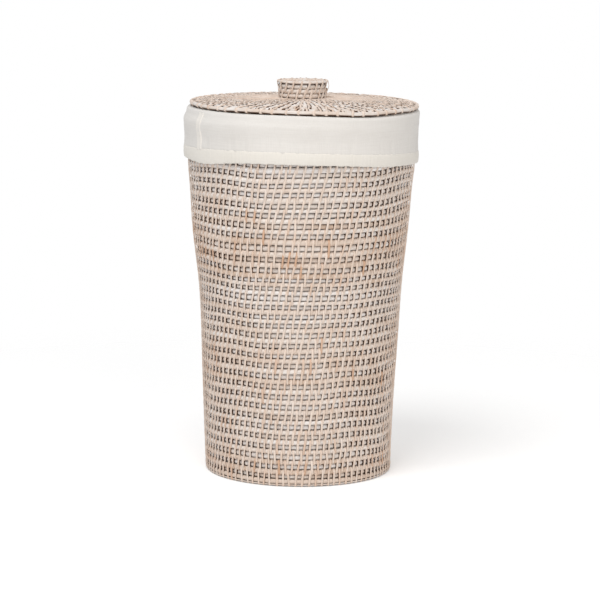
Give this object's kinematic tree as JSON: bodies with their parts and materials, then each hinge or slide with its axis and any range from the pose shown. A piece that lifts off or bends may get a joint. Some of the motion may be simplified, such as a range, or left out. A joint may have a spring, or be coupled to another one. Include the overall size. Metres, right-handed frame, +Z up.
{
  "type": "woven laundry basket",
  "caption": "Round flared rattan laundry basket with a removable cloth liner cuffed over its rim and a lift-off woven lid with a knob.",
  "frame": {"origin": "centre of the foot hoop, on the floor", "axes": "+Z up along the basket's axis; the part is round, and its liner's side seam is towards -X, -Y"},
  "size_m": [0.3592, 0.359, 0.6022],
  "materials": {
    "rattan_core": "whitewashed, matte",
    "rattan_hoop": "whitewashed, matte, lashed with peel",
    "liner_cloth": "plain woven cotton, off-white",
    "elastic": "braided elastic"
  },
  "bodies": {
    "basket": {"wall": "rattan_core", "foot_hoop": "rattan_hoop", "floor_disc": "rattan_core", "rim_hoop": "rattan_hoop"},
    "liner": {"liner_sides": "liner_cloth", "liner_floor": "liner_cloth", "hem_casing": "liner_cloth", "hem_elastic": "elastic"},
    "lid": {"lid_panel": "rattan_core", "lid_rim_hoop": "rattan_hoop", "lid_locating_ring": "rattan_hoop", "knob_wall": "rattan_core", "knob_top_hoop": "rattan_hoop", "knob_cap": "rattan_core"}
  },
  "joints": [
    {"name": "liner_lift", "type": "slide", "parent": "basket", "child": "liner", "axis": [0, 0, 1], "range_m": [0, 0.56]},
    {"name": "lid_lift", "type": "slide", "parent": "liner", "child": "lid", "axis": [0, 0, 1], "range_m": [0, 0.2]}
  ]
}
